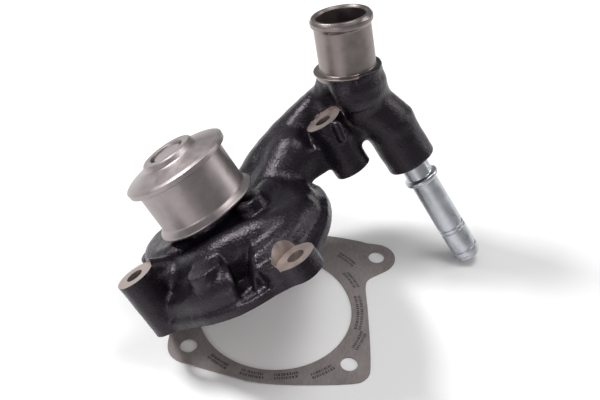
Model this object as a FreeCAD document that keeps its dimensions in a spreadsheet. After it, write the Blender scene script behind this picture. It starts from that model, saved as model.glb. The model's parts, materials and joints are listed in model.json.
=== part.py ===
import FreeCAD, Part
import Sketcher
import math
import os

# Belt-driven coolant pump for an engine, laid down beside its loose mounting gasket.
#
# Every pump piece is drawn upright in the pump's own frame: the origin is the middle of the
# mounting face, +Z runs along the shaft towards the pulley and +X points along the outlet arm.
# One placement, lay, then puts the whole pump down on the ground as it rests by itself, on the
# rim of its bypass tube and on one straight edge of its mounting flange.

doc = FreeCAD.newDocument("water_pump")
sheet = doc.addObject("Spreadsheet::Sheet", "Dimensions")

DRIVING_DIMENSIONS = {
    # shaft and bearing
    "shaft_radius": 7.96, "shaft_low": -10.5, "shaft_top": 67.2, "run_gap": 0.05,
    "ring_radius": 15.0, "ring_low": 22.0, "ring_top": 57.0, "ring_land": 12.3,
    "ball_radius": 3.175, "ball_pitch": 10.15, "ball_height": 48.0, "ball_count": 8,
    "roller_radius": 2.5, "roller_length": 8.0, "roller_height": 31.0, "roller_count": 10,
    "cage_play": 0.15, "lip_depth": 1.5,
    # face seal
    "seal_plane": 7.0, "seal_case_radius": 17.4, "seal_case_low": 9.0, "seal_case_top": 17.6,
    "seal_sheet": 0.8, "seal_flange_radius": 20.4, "sleeve_radius": 8.46, "seat_radius": 12.3,
    "sleeve_low": 2.6, "sleeve_top": 17.0, "spring_edge": 0.8,
    "slinger_radius": 13.0, "slinger_height": 18.7,
    # impeller
    "impeller_radius": 32.0, "impeller_plate": 1.8, "impeller_low": -11.0, "impeller_hub": 12.0,
    "vane_radius": 24.0, "vane_thickness": 2.2, "vane_count": 6,
    # pulley
    "rim_radius": 28.6, "rim_height": 61.7, "rim_thickness": 3.3, "belt_radius": 24.7,
    "pulley_wall": 2.2, "lip_radius": 27.4, "lip_height": 31.8, "lip_sheet": 1.2,
    "hub_radius": 14.3, "hub_top": 68.0, "hub_step": 1.6, "hub_low": 58.4, "hub_recess": 8.4,
    # casting
    "flange_thickness": 4.5, "tower_radius": 19.4, "tower_top": 54.0,
    "chamber_radius": 38.0, "chamber_depth": 13.0, "seal_boss_radius": 21.5,
    "drip_radius": 13.9, "bolt_hole": 4.4, "weep_radius": 2.8,
    "boss_radius": 9.6, "boss_a_x": -45.4, "boss_a_y": -27.5, "boss_a_top": 32.0,
    "boss_b_x": 25.9, "boss_b_y": -65.2, "boss_b_top": 9.2, "spotface_radius": 12.0,
    "boss_c_x": -14.0, "boss_c_y": 50.0, "boss_c_top": 12.0, "lobe_radius": 10.5,
    "boss_d_x": 75.5, "boss_d_y": 11.3, "boss_d_top": 31.5, "boss_d_radius": 10.0,
    "arm_radius": 15.0, "arm_bore": 8.5, "ridge_radius": 8.5, "weep_top": 30.4,
    "neck_radius": 15.0, "neck_bore": 12.9, "neck_length": 29.0, "neck_bead": 1.3,
    "collar_radius": 17.6, "collar_height": 2.6,
    "elbow_radius": 13.8, "elbow_low": -17.0, "elbow_x": 105.0, "elbow_y": 15.0,
    # bypass tube
    "tube_radius": 7.6, "tube_bore": 6.3, "tube_top": -3.0, "tube_low": -85.0,
    "tube_nose": 6.9, "tube_nose_length": 2.6, "bead_radius": 9.7, "bead_height": -28.4,
    "bead_width": 2.4, "groove_height": -62.0, "groove_depth": 0.5, "groove_width": 1.2,
    # gasket
    "gasket_thickness": 0.8, "gasket_bore": 41.3, "gasket_hole": 4.5, "gasket_corner": 10.8,
    "gasket_x": 19.0, "gasket_y": -10.5,
}


class Size:
    """A length read from the sheet: its value and the expression that binds a feature to it."""

    def __init__(self, value, text):
        self.value = value
        self.text = text

    def __add__(self, other):
        other = as_size(other)
        return Size(self.value + other.value, "(%s + %s)" % (self.text, other.text))

    def __radd__(self, other):
        return as_size(other) + self

    def __sub__(self, other):
        other = as_size(other)
        return Size(self.value - other.value, "(%s - %s)" % (self.text, other.text))

    def __rsub__(self, other):
        return as_size(other) - self

    def __mul__(self, factor):
        return Size(self.value * factor, "(%s * %s)" % (self.text, factor))


def as_size(number):
    if isinstance(number, Size):
        return number
    return Size(float(number), "%s" % float(number))


class Dimensions:
    """The sheet's cells by name."""


d = Dimensions()
for row, (alias, number) in enumerate(DRIVING_DIMENSIONS.items(), start=1):
    sheet.set("A%d" % row, alias)
    sheet.set("B%d" % row, str(number))
    sheet.setAlias("B%d" % row, alias)
    setattr(d, alias, Size(number, "Dimensions.%s" % alias))
doc.recompute()

PIECES = []


def piece(feature, name):
    """Give a feature the name of the piece that it is."""
    feature.Label = name
    PIECES.append(feature)
    return feature


def bind(feature, sizes):
    for property_name, size in sizes.items():
        size = as_size(size)
        feature.setExpression(property_name, size.text)


def place(feature, base, direction=None):
    """Bind a primitive's corner or foot to base, and point its own Z along direction."""
    if direction is not None:
        turn = FreeCAD.Rotation(FreeCAD.Vector(0, 0, 1), FreeCAD.Vector(*direction))
        feature.Placement = FreeCAD.Placement(FreeCAD.Vector(), turn)
    for axis, size in zip("xyz", base):
        size = as_size(size)
        feature.setExpression("Placement.Base.%s" % axis, size.text)


def cylinder(name, radius, height, base, direction=None):
    feature = doc.addObject("Part::Cylinder", name)
    bind(feature, {"Radius": radius, "Height": height})
    place(feature, base, direction)
    return feature


def cone(name, radius, end_radius, height, base, direction=None):
    feature = doc.addObject("Part::Cone", name)
    bind(feature, {"Radius1": radius, "Radius2": end_radius, "Height": height})
    place(feature, base, direction)
    return feature


def sphere(name, radius, centre):
    feature = doc.addObject("Part::Sphere", name)
    bind(feature, {"Radius": radius})
    place(feature, centre)
    return feature


def torus(name, ring_radius, wire_radius, centre, direction=None):
    feature = doc.addObject("Part::Torus", name)
    bind(feature, {"Radius1": ring_radius, "Radius2": wire_radius})
    place(feature, centre, direction)
    return feature


def fuse(name, features):
    feature = doc.addObject("Part::MultiFuse", name)
    feature.Shapes = features
    return feature


def fuse_in_turn(name, features):
    """Fuse one feature after the other, for blocks that meet along tangent seams."""
    joined = features[0]
    for index, block in enumerate(features[1:]):
        following = doc.addObject("Part::Fuse", "%s_%d" % (name, index))
        following.Base = joined
        following.Tool = block
        joined = following
    return joined


def cut(name, base, tools):
    feature = doc.addObject("Part::Cut", name)
    feature.Base = base
    feature.Tool = tools[0] if len(tools) == 1 else fuse_in_turn(name + "_tool", tools)
    return feature


def compound(name, features):
    feature = doc.addObject("Part::Compound", name)
    feature.Links = features
    return feature


def origin_plane(body, role):
    return [plane for plane in body.Origin.OriginFeatures if plane.Role == role][0]


def outline_sketch(body, name, role, outline):
    """A closed outline of straight edges, every corner bound to the sheet."""
    sketch = body.newObject("Sketcher::SketchObject", name)
    sketch.AttachmentSupport = [(origin_plane(body, role), "")]
    sketch.MapMode = "FlatFace"
    corners = [(as_size(across), as_size(along)) for across, along in outline]
    points = [FreeCAD.Vector(across.value, along.value, 0) for across, along in corners]
    for index, point in enumerate(points):
        sketch.addGeometry(Part.LineSegment(point, points[(index + 1) % len(points)]), False)
    for index in range(len(points)):
        following = (index + 1) % len(points)
        sketch.addConstraint(Sketcher.Constraint("Coincident", index, 2, following, 1))
    horizontal_axis = -1
    vertical_axis = -2
    for index, (across, along) in enumerate(corners):
        for kind, size, axis in (("DistanceX", across, vertical_axis),
                                 ("DistanceY", along, horizontal_axis)):
            if size.value == 0:
                sketch.addConstraint(Sketcher.Constraint("PointOnObject", index, 1, axis))
                continue
            number = sketch.addConstraint(Sketcher.Constraint(kind, -1, 1, index, 1, size.value))
            sketch.setExpression("Constraints[%d]" % number, size.text)
    return sketch


def turned(name, outlines):
    """A body turned about its own Z from (radius, height) outlines."""
    body = doc.addObject("PartDesign::Body", name + "_body")
    for number, outline in enumerate(outlines):
        sketch = outline_sketch(body, "%s_outline_%d" % (name, number), "XZ_Plane", outline)
        turn = body.newObject("PartDesign::Revolution", "%s_turn_%d" % (name, number))
        turn.Profile = sketch
        turn.ReferenceAxis = (sketch, ["V_Axis"])
        turn.Angle = 360.0
        sketch.Visibility = False
    return body


def plate(name, outline, thickness):
    """A flat body of one straight-edged outline, standing on its own XY plane."""
    body = doc.addObject("PartDesign::Body", name + "_body")
    sketch = outline_sketch(body, name + "_outline", "XY_Plane", outline)
    pad = body.newObject("PartDesign::Pad", name + "_pad")
    pad.Profile = sketch
    bind(pad, {"Length": thickness})
    sketch.Visibility = False
    return body


def ring(inner, outer, low, high):
    return [(inner, low), (outer, low), (outer, high), (inner, high)]


# ---------------------------------------------------------------- shaft and bearing

def make_shaft():
    groove = d.ball_radius + d.run_gap
    rod = cylinder("shaft_rod", d.shaft_radius, d.shaft_top - d.shaft_low, (0, 0, d.shaft_low))
    race = torus("shaft_race", d.ball_pitch, groove, (0, 0, d.ball_height))
    chamfer_depth = 0.6
    stock = cylinder("shaft_tip_stock", d.shaft_radius + 2, chamfer_depth + 2,
                     (0, 0, d.shaft_top - chamfer_depth))
    tip = cone("shaft_tip", d.shaft_radius, d.shaft_radius - chamfer_depth, chamfer_depth,
               (0, 0, d.shaft_top - chamfer_depth))
    chamfer = cut("shaft_chamfer", stock, [tip])
    piece(cut("shaft", rod, [race, chamfer]), "bearing_shaft")


def make_outer_ring():
    roller_race = d.shaft_radius + d.roller_radius * 2 + d.run_gap * 2
    race_half = d.roller_length * 0.5 + 1.2
    blank = turned("outer_ring", [[
        (d.ring_land, d.ring_low), (d.ring_radius, d.ring_low), (d.ring_radius, d.ring_top),
        (d.ring_land, d.ring_top), (d.ring_land, d.roller_height + race_half),
        (roller_race, d.roller_height + race_half), (roller_race, d.roller_height - race_half),
        (d.ring_land, d.roller_height - race_half),
    ]])
    race = torus("ring_race", d.ball_pitch, d.ball_radius + d.run_gap, (0, 0, d.ball_height))
    piece(cut("outer_ring_cut", blank, [race]), "bearing_outer_ring")


def around(count, radius):
    """Evenly spaced places on a circle about the shaft."""
    total = int(DRIVING_DIMENSIONS[count])
    for index in range(total):
        angle = 2 * math.pi * index / total
        yield index, radius * math.cos(angle), radius * math.sin(angle)


def make_rolling_sets():
    cage_inner = d.shaft_radius + 0.7
    cage_outer = d.ring_land - 0.7
    balls = []
    pockets = []
    for index, x, y in around("ball_count", d.ball_pitch):
        balls.append(sphere("ball_%d" % index, d.ball_radius, (x, y, d.ball_height)))
        pockets.append(sphere("ball_pocket_%d" % index, d.ball_radius + d.cage_play,
                              (x, y, d.ball_height)))
    piece(compound("balls", balls), "bearing_balls")
    half = d.ball_radius + 1.2
    cage = turned("ball_cage", [ring(cage_inner, cage_outer, d.ball_height - half,
                                     d.ball_height + half)])
    piece(cut("ball_cage_cut", cage, pockets), "ball_cage")

    roller_pitch = d.shaft_radius + d.roller_radius + d.run_gap
    low = d.roller_height - d.roller_length * 0.5
    rollers = []
    pockets = []
    for index, x, y in around("roller_count", roller_pitch):
        rollers.append(cylinder("roller_%d" % index, d.roller_radius, d.roller_length,
                                (x, y, low)))
        pockets.append(cylinder("roller_pocket_%d" % index, d.roller_radius + d.cage_play,
                                d.roller_length + d.cage_play * 2, (x, y, low - d.cage_play)))
    piece(compound("rollers", rollers), "bearing_rollers")
    rim = 0.95
    cage = turned("roller_cage", [ring(cage_inner, cage_outer, low - rim,
                                       low + d.roller_length + rim)])
    piece(cut("roller_cage_cut", cage, pockets), "roller_cage")


def make_bearing_seals():
    """Rubber lips at both ends of the bearing: a flat ring with a lip that leans on the shaft."""
    lip = d.shaft_radius + d.run_gap
    body = d.shaft_radius + 1.6
    front = d.ring_top - d.lip_depth - 0.3
    piece(turned("seal_front", [[
        (body, front), (d.ring_land, front), (d.ring_land, front + d.lip_depth),
        (lip, front + d.lip_depth), (lip, front + d.lip_depth - 0.4), (body, front + 0.6),
    ]]), "bearing_seal_front")
    rear = d.ring_low + 0.3
    piece(turned("seal_rear", [[
        (lip, rear), (d.ring_land, rear), (d.ring_land, rear + d.lip_depth),
        (body, rear + d.lip_depth), (body, rear + d.lip_depth - 0.6), (lip, rear + 0.4),
    ]]), "bearing_seal_rear")


def make_slinger():
    piece(turned("slinger", [[
        (d.shaft_radius, d.slinger_height), (d.slinger_radius - 1, d.slinger_height),
        (d.slinger_radius, d.slinger_height + 0.6), (d.slinger_radius, d.slinger_height + 1.1),
        (d.shaft_radius + 1.2, d.slinger_height + 0.8), (d.shaft_radius + 1.2, d.slinger_height + 2.6),
        (d.shaft_radius, d.slinger_height + 2.6),
    ]]), "slinger")


# ---------------------------------------------------------------- face seal

def make_face_seal():
    inner = d.seal_case_radius - d.seal_sheet
    roof = d.seal_case_top - d.seal_sheet
    piece(turned("seal_case", [[
        (d.sleeve_radius + 1.2, roof), (inner, roof), (inner, d.seal_case_low - d.seal_sheet),
        (d.seal_flange_radius, d.seal_case_low - d.seal_sheet),
        (d.seal_flange_radius, d.seal_case_low), (d.seal_case_radius, d.seal_case_low),
        (d.seal_case_radius, d.seal_case_top), (d.sleeve_radius + 1.2, d.seal_case_top),
    ]]), "seal_case")

    carbon_low = d.seal_plane + d.run_gap
    carbon_back = d.seal_plane + 4.0
    bellows_inner = d.sleeve_radius + 0.8
    piece(turned("carbon", [[
        (bellows_inner, carbon_low), (d.seat_radius - 1.2, carbon_low),
        (d.seat_radius - 1.2, carbon_low + 1.4), (d.seat_radius, carbon_low + 1.4),
        (d.seat_radius, carbon_back), (bellows_inner, carbon_back),
    ]]), "seal_carbon_ring")

    piece(turned("bellows", [[
        (bellows_inner, carbon_back), (d.seat_radius, carbon_back),
        (d.seat_radius, carbon_back - 1.6), (d.seat_radius + 0.7, carbon_back - 1.6),
        (d.seat_radius + 0.7, carbon_back + 0.8), (bellows_inner + 1.6, carbon_back + 0.8),
        (bellows_inner + 1.0, carbon_back + 1.6), (bellows_inner + 2.0, carbon_back + 2.6),
        (bellows_inner + 1.0, carbon_back + 3.6), (bellows_inner + 1.0, roof - 0.8),
        (inner, roof - 0.8), (inner, roof), (bellows_inner, roof),
        (bellows_inner, carbon_back + 3.5), (bellows_inner + 1.0, carbon_back + 2.6),
        (bellows_inner, carbon_back + 1.7),
    ]]), "seal_bellows")

    cup_inner = d.seat_radius + 0.7
    cup_top = carbon_back + 1.2
    piece(turned("spring_cup", [[
        (cup_inner - 2.0, cup_top - 0.4), (cup_inner, cup_top - 0.4),
        (cup_inner, cup_top - 2.4), (cup_inner + 0.5, cup_top - 2.4),
        (cup_inner + 0.5, cup_top), (cup_inner - 2.0, cup_top),
    ]]), "spring_cup")

    piece(turned("sleeve", [[
        (d.shaft_radius, d.sleeve_low), (d.seat_radius + 1.3, d.sleeve_low),
        (d.seat_radius + 1.3, d.seal_plane - 1.2), (d.seat_radius + 0.8, d.seal_plane - 1.2),
        (d.seat_radius + 0.8, d.sleeve_low + 0.5), (d.sleeve_radius, d.sleeve_low + 0.5),
        (d.sleeve_radius, d.sleeve_top), (d.shaft_radius, d.sleeve_top),
    ]]), "seal_sleeve")

    boot_low = d.sleeve_low + 0.5
    piece(turned("boot", [[
        (d.sleeve_radius, boot_low), (d.seat_radius + 0.8, boot_low),
        (d.seat_radius + 0.8, d.seal_plane - 1.2), (d.seat_radius, d.seal_plane - 1.2),
        (d.seat_radius, boot_low + 0.8), (d.sleeve_radius, boot_low + 0.8),
    ]]), "seat_boot")
    piece(turned("seat", [ring(d.sleeve_radius, d.seat_radius, boot_low + 0.8, d.seal_plane)]),
          "seal_seat")
    return cup_top, roof - 0.8


def make_seal_spring(low, high):
    """Conical spring washer between the spring cup and the bellows' flange."""
    inner = d.seat_radius - 0.5
    outer = d.seal_case_radius - d.seal_sheet - 0.7
    piece(turned("spring", [[
        (inner, low), (inner + d.spring_edge, low), (outer, high), (outer - d.spring_edge, high),
    ]]), "seal_spring")


# ---------------------------------------------------------------- impeller

def make_impeller():
    plate_low = -0.8
    hub = turned("impeller_hub", [[
        (d.shaft_radius, d.impeller_low + 1), (d.impeller_hub - 2, d.impeller_low + 1),
        (d.impeller_hub, plate_low), (d.impeller_radius, plate_low),
        (d.impeller_radius, plate_low + d.impeller_plate),
        (d.impeller_hub, plate_low + d.impeller_plate), (d.impeller_hub - 0.6, 2.2),
        (d.shaft_radius, 2.2),
    ]])
    height = plate_low - d.impeller_low + 0.4
    reach = cylinder("vane_reach", d.impeller_radius - 0.6, height, (0, 0, d.impeller_low))
    vanes = []
    offset = d.vane_radius * 0.95
    for index, x, y in around("vane_count", offset):
        outer = cylinder("vane_outer_%d" % index, d.vane_radius, height, (x, y, d.impeller_low))
        inner = cylinder("vane_inner_%d" % index, d.vane_radius - d.vane_thickness, height,
                         (x, y, d.impeller_low))
        wall = cut("vane_wall_%d" % index, outer, [inner])
        # only the leading half of each ring is a vane; the other half is left out
        half = doc.addObject("Part::Box", "vane_half_%d" % index)
        span = 2 * DRIVING_DIMENSIONS["impeller_radius"]
        bind(half, {"Length": span, "Width": span, "Height": height})
        turn = math.degrees(math.atan2(y.value, x.value))
        half.Placement = FreeCAD.Placement(
            FreeCAD.Vector(0, 0, DRIVING_DIMENSIONS["impeller_low"]),
            FreeCAD.Rotation(FreeCAD.Vector(0, 0, 1), turn))
        trimmed = doc.addObject("Part::MultiCommon", "vane_%d" % index)
        trimmed.Shapes = [wall, reach, half]
        vanes.append(trimmed)
    eye = cylinder("impeller_eye", d.impeller_hub - 2.2, height, (0, 0, d.impeller_low))
    blades = cut("impeller_blades", fuse("impeller_vanes", vanes), [eye])
    piece(fuse("impeller", [hub, blades]), "impeller")


# ---------------------------------------------------------------- pulley

def make_pulley():
    inside = d.belt_radius - d.pulley_wall
    piece(turned("pulley", [[
        (d.shaft_radius, d.hub_low), (d.hub_radius - 1.6, d.hub_low),
        (d.hub_radius - 1.6, d.rim_height + 1.4), (inside, d.rim_height - d.rim_thickness),
        (inside, d.lip_height + 1.6), (d.lip_radius, d.lip_height),
        (d.lip_radius, d.lip_height + d.lip_sheet), (d.belt_radius, d.lip_height + 2.8),
        (d.belt_radius, d.rim_height - d.rim_thickness),
        (d.rim_radius, d.rim_height - d.rim_thickness), (d.rim_radius, d.rim_height),
        (d.hub_radius, d.hub_top - d.hub_step), (d.hub_radius - 0.5, d.hub_top),
        (d.hub_recess, d.hub_top), (d.hub_recess, d.shaft_top - 0.8),
        (d.shaft_radius, d.shaft_top - 0.8),
    ]]), "pulley")


# ---------------------------------------------------------------- casting

# The flange's outline on the mounting face. The edge between the two rest corners is the straight
# one that the laid-down pump stands on.
REST_CORNERS = [(-22.0, 57.2), (-47.5, 28.9)]
FLANGE_CORNERS = [
    (-54.0, -31.0), (-42.0, -39.0), (-24.0, -58.0), (-6.0, -68.0), (16.0, -69.5), (30.0, -72.0),
    (34.5, -60.0), (47.0, -40.0), (54.0, -17.0), (56.0, 8.0), (48.0, 32.0), (28.0, 48.0),
    (4.0, 58.0), (-14.0, 60.4),
] + REST_CORNERS + [(-54.5, 8.0)]

# The outer wall of the pump chamber on the side of the long boss, and the rounded ridge that runs
# round the front of the chamber.
SIDE_WALL = [
    (-50.0, -26.0), (-43.0, -35.0), (-32.0, -46.5), (-21.0, -56.0), (-6.0, -63.5), (8.0, -63.5),
    (8.0, -30.0), (-20.0, -8.0), (-46.0, -8.0),
]
RIDGE_LINE = [(-24.0, -24.0, 15.0), (-9.0, -32.5, 17.8), (4.0, -35.0, 18.0), (18.0, -37.0, 16.0),
              (29.0, -34.0, 13.0), (38.0, -26.0, 9.0)]
POCKET_LOW = (-5.5, -73.5, 5.5)
POCKET_SIZE = (10.0, 23.0, 14.5)

# The outlet arm's centre line, from the pump chamber to the junction under the hose neck, and the
# coolant's way through it.
ARM_LINE = [(32.0, 30.0, 18.0), (47.0, 31.0, 22.0), (67.0, 33.5, 25.5), (84.0, 30.0, 29.0),
            (97.0, 17.5, 32.0)]
ARM_CHEEK = [(34.0, 12.0, 14.0), (53.0, 18.5, 22.5)]
PASSAGE_LINE = [(32.0, 26.0, 16.5), (47.0, 32.0, 23.0), (67.0, 33.5, 26.0), (84.0, 30.0, 29.0),
                (97.0, 18.0, 32.0)]
NECK_FOOT = (101.7, 13.0, 47.6)
NECK_DIRECTION = FreeCAD.Vector(0.35, -0.17, 0.921).normalize()
ELBOW_BEND = 10.0
WEEP_MOUTH = (20.0, -20.5, 31.0)
WEEP_INNER = (9.5, -9.5, 19.5)


def tube_along(name, points, radius):
    """Straight round runs between points, with a ball at every point, as one feature."""
    features = []
    for index, point in enumerate(points):
        features.append(sphere("%s_ball_%d" % (name, index), radius, point))
    for index, (start, end) in enumerate(zip(points, points[1:])):
        run = FreeCAD.Vector(*end) - FreeCAD.Vector(*start)
        features.append(cylinder("%s_run_%d" % (name, index), radius, run.Length, start, run))
    return fuse_in_turn(name, features)


def along_neck(distance):
    return tuple(FreeCAD.Vector(*NECK_FOOT) + NECK_DIRECTION * distance)


def make_casting_outside():
    blocks = [plate("flange", FLANGE_CORNERS, d.flange_thickness)]
    blocks.append(turned("dome", [[
        (0, 0), (46, 0), (46, 9), (44, 17.5), (39.5, 22.0), (31, 24.0), (22, 26.0),
        (d.tower_radius, 26.0), (d.tower_radius, d.tower_top), (0, d.tower_top),
    ]]))
    front = (4.5, -20.0)
    blocks.append(cylinder("front_wall", 42.0, 18.0, front + (0,)))
    blocks.append(plate("side_wall", SIDE_WALL, 15.0))
    blocks.append(tube_along("ridge", RIDGE_LINE, d.ridge_radius))
    blocks.append(cylinder("weep_boss", 8.0, d.weep_top - 16.0, (18.5, -18.0, 16.0)))
    blocks.append(cylinder("boss_b_wall", 10.5, d.boss_b_top + 3.6, (18.0, -60.0, 0)))
    blocks.append(cylinder("side_bulge", 9.5, 22.0, (-14.0, -45.0, 0)))
    blocks.append(cylinder("corner_boss", 7.0, 22.0, (-40.5, 20.0, 0)))

    blocks.append(cylinder("boss_a", d.boss_radius, d.boss_a_top, (d.boss_a_x, d.boss_a_y, 0)))
    web = doc.addObject("Part::Box", "boss_a_web")
    bind(web, {"Length": 30.0, "Width": 14.0, "Height": d.boss_a_top - 4.0})
    turn = math.degrees(math.atan2(d.boss_a_y.value, d.boss_a_x.value)) + 180.0
    swing = FreeCAD.Rotation(FreeCAD.Vector(0, 0, 1), turn)
    corner = FreeCAD.Vector(d.boss_a_x.value, d.boss_a_y.value, 0)
    web.Placement = FreeCAD.Placement(corner + swing.multVec(FreeCAD.Vector(0, -7, 0)), swing)
    blocks.append(web)
    blocks.append(cylinder("boss_b", d.boss_radius - 0.4, d.boss_b_top,
                           (d.boss_b_x, d.boss_b_y, 0)))
    blocks.append(cylinder("boss_c", d.lobe_radius, d.boss_c_top, (d.boss_c_x, d.boss_c_y, 0)))
    blocks.append(cylinder("boss_d", d.boss_d_radius, d.boss_d_top,
                           (d.boss_d_x, d.boss_d_y, 0)))
    web = doc.addObject("Part::Box", "boss_d_web")
    bind(web, {"Length": 40.0, "Width": 9.0, "Height": 16.0})
    place(web, (38.0, 7.0, 8.0))
    blocks.append(web)

    blocks.append(tube_along("arm", ARM_LINE, d.arm_radius))
    blocks.append(tube_along("arm_cheek", ARM_CHEEK, 13.0))
    blocks.append(cylinder("junction", d.arm_radius + 2.0, 15.0, along_neck(-15.0),
                           NECK_DIRECTION))
    blocks.append(cylinder("collar", d.collar_radius, d.collar_height, along_neck(-2.0),
                           NECK_DIRECTION))
    blocks.append(cylinder("neck", d.neck_radius, d.neck_length, NECK_FOOT, NECK_DIRECTION))
    blocks.append(torus("neck_bead", d.neck_radius - 0.1, d.neck_bead,
                        along_neck(d.neck_length.value - 2.6), NECK_DIRECTION))
    elbow = (d.elbow_x, d.elbow_y)
    blocks.append(cylinder("elbow", d.elbow_radius, ELBOW_BEND - d.elbow_low,
                           elbow + (d.elbow_low,)))
    blocks.append(tube_along("shoulder", [(d.elbow_x.value, d.elbow_y.value, ELBOW_BEND),
                                          ARM_LINE[-1]], d.elbow_radius))
    return fuse_in_turn("casting", blocks)


def make_housing():
    hollow = turned("hollow", [[
        (0, -1), (d.chamber_radius, -1), (d.chamber_radius, d.chamber_depth),
        (d.seal_boss_radius, d.chamber_depth), (d.seal_boss_radius, d.seal_case_low),
        (d.seal_case_radius, d.seal_case_low), (d.seal_case_radius, d.seal_case_top),
        (d.drip_radius, d.seal_case_top), (d.drip_radius, d.ring_low),
        (d.ring_radius, d.ring_low), (d.ring_radius, d.tower_top + 1), (0, d.tower_top + 1),
    ]])
    tools = [hollow]
    tools.append(tube_along("passage", PASSAGE_LINE, d.arm_bore))
    junction = 9.0
    tools.append(cylinder("neck_hole", d.neck_bore, d.neck_length + junction + 1,
                          along_neck(-junction), NECK_DIRECTION))
    elbow = (d.elbow_x, d.elbow_y)
    tools.append(cylinder("tube_socket", d.tube_radius, d.tube_top - d.elbow_low + 1,
                          elbow + (d.elbow_low - 1,)))
    tools.append(cylinder("elbow_hole", d.tube_bore, ELBOW_BEND - d.tube_top,
                          elbow + (d.tube_top,)))
    tools.append(tube_along("elbow_way", [(d.elbow_x.value, d.elbow_y.value, ELBOW_BEND),
                                          ARM_LINE[-1]], d.tube_bore))
    weep = FreeCAD.Vector(*WEEP_MOUTH) - FreeCAD.Vector(*WEEP_INNER)
    tools.append(cylinder("weep_hole", d.weep_radius, weep.Length + 6, WEEP_INNER, weep))
    for name, x, y, top in (("a", d.boss_a_x, d.boss_a_y, d.boss_a_top),
                            ("b", d.boss_b_x, d.boss_b_y, d.boss_b_top),
                            ("c", d.boss_c_x, d.boss_c_y, d.boss_c_top),
                            ("d", d.boss_d_x, d.boss_d_y, d.boss_d_top)):
        tools.append(cylinder("bolt_hole_" + name, d.bolt_hole, top + 2, (x, y, -1)))
    for name, radius, x, y, top in (
            ("b", d.spotface_radius, d.boss_b_x, d.boss_b_y, d.boss_b_top),
            ("c", d.lobe_radius, d.boss_c_x, d.boss_c_y, d.boss_c_top),
            ("d", d.boss_d_radius - 0.7, d.boss_d_x, d.boss_d_y, d.boss_d_top)):
        tools.append(cylinder("spotface_" + name, radius, 30.0, (x, y, top)))
    pocket = doc.addObject("Part::Box", "pocket")
    bind(pocket, dict(zip(("Length", "Width", "Height"), POCKET_SIZE)))
    place(pocket, POCKET_LOW)
    tools.append(pocket)
    piece(cut("housing", make_casting_outside(), tools), "housing")


def make_bypass_tube():
    groove_low = d.groove_height - d.groove_width
    nose = d.tube_low + d.tube_nose_length
    step = 2.4
    end_groove = nose + 3.0
    outline = [
        (d.tube_bore, d.tube_low), (d.tube_nose - 0.4, d.tube_low), (d.tube_nose, d.tube_low + 0.6),
        (d.tube_nose, nose - 0.8), (d.tube_radius, nose), (d.tube_radius, end_groove),
    ]
    for low in (end_groove, groove_low - step, groove_low):
        outline += [
            (d.tube_radius - d.groove_depth, low + 0.15),
            (d.tube_radius - d.groove_depth, low + d.groove_width - 0.15),
            (d.tube_radius, low + d.groove_width), (d.tube_radius, low + d.groove_width + 0.3),
        ]
    outline += [
        (d.tube_radius, d.bead_height - d.bead_width * 0.5),
        (d.bead_radius, d.bead_height - d.bead_width * 0.25),
        (d.bead_radius, d.bead_height + d.bead_width * 0.25),
        (d.tube_radius, d.bead_height + d.bead_width * 0.5),
        (d.tube_radius, d.tube_top), (d.tube_bore, d.tube_top),
    ]
    tube = turned("tube", [outline])
    piece(tube, "bypass_tube")
    return FreeCAD.Vector(d.elbow_x.value, d.elbow_y.value, 0)


# ---------------------------------------------------------------- gasket

# Hole centres and outline corners, measured from the middle of the gasket's own bore.
GASKET_HOLES = [(-44.6, -26.2), (38.5, -36.9), (57.3, 41.0)]
GASKET_CORNERS = [
    (-56.2, -22.0), (-48.3, -36.5), (-25.5, -44.2), (-6.0, -50.6), (40.9, -49.8), (47.4, -46.3),
    (49.8, -40.0), (50.3, -1.0), (49.5, 19.5), (52.4, 24.5), (58.9, 28.3), (65.4, 34.5),
    (59.9, 51.3), (30.9, 59.0), (8.0, 60.5), (-16.0, 56.5), (-38.0, 44.0), (-52.0, 24.0),
    (-56.2, 6.0),
]


def make_gasket():
    sheet_body = plate("gasket", GASKET_CORNERS, d.gasket_thickness)
    lobes = []
    holes = [cylinder("gasket_bore_hole", d.gasket_bore, d.gasket_thickness + 2, (0, 0, -1))]
    for index, (x, y) in enumerate(GASKET_HOLES):
        if index != 1:
            lobes.append(cylinder("gasket_lobe_%d" % index, d.gasket_corner, d.gasket_thickness,
                                  (x, y, 0)))
        holes.append(cylinder("gasket_hole_%d" % index, d.gasket_hole, d.gasket_thickness + 2,
                              (x, y, -1)))
    return piece(cut("gasket", fuse("gasket_blank", [sheet_body] + lobes), holes), "gasket")


# ---------------------------------------------------------------- laying the pump down

SHAFT_BEARING = 156.0


def lay_down():
    """The pump's placement when it rests on the tube's rim and on the flange's rest edge."""
    first = FreeCAD.Vector(REST_CORNERS[0][0], REST_CORNERS[0][1], 0)
    second = FreeCAD.Vector(REST_CORNERS[1][0], REST_CORNERS[1][1], 0)
    edge = (second - first).normalize()
    shaft = FreeCAD.Vector(0, 0, 1)
    inward = shaft.cross(edge)
    if inward.dot(first) > 0:
        inward = inward * -1
    tube_end = FreeCAD.Vector(d.elbow_x.value, d.elbow_y.value, d.tube_low.value)
    reach = tube_end - first
    lean = math.atan2(-reach.z, reach.dot(inward) - (d.tube_nose.value - 0.4))
    up = inward * math.sin(lean) + shaft * math.cos(lean)
    stand = FreeCAD.Rotation(up, shaft)
    leaning = stand.multVec(shaft)
    turn = SHAFT_BEARING - math.degrees(math.atan2(leaning.y, leaning.x))
    turned_up = FreeCAD.Rotation(shaft, turn).multiply(stand)
    height = -turned_up.multVec(first).z
    return FreeCAD.Placement(FreeCAD.Vector(0, 0, height), turned_up)


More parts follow.
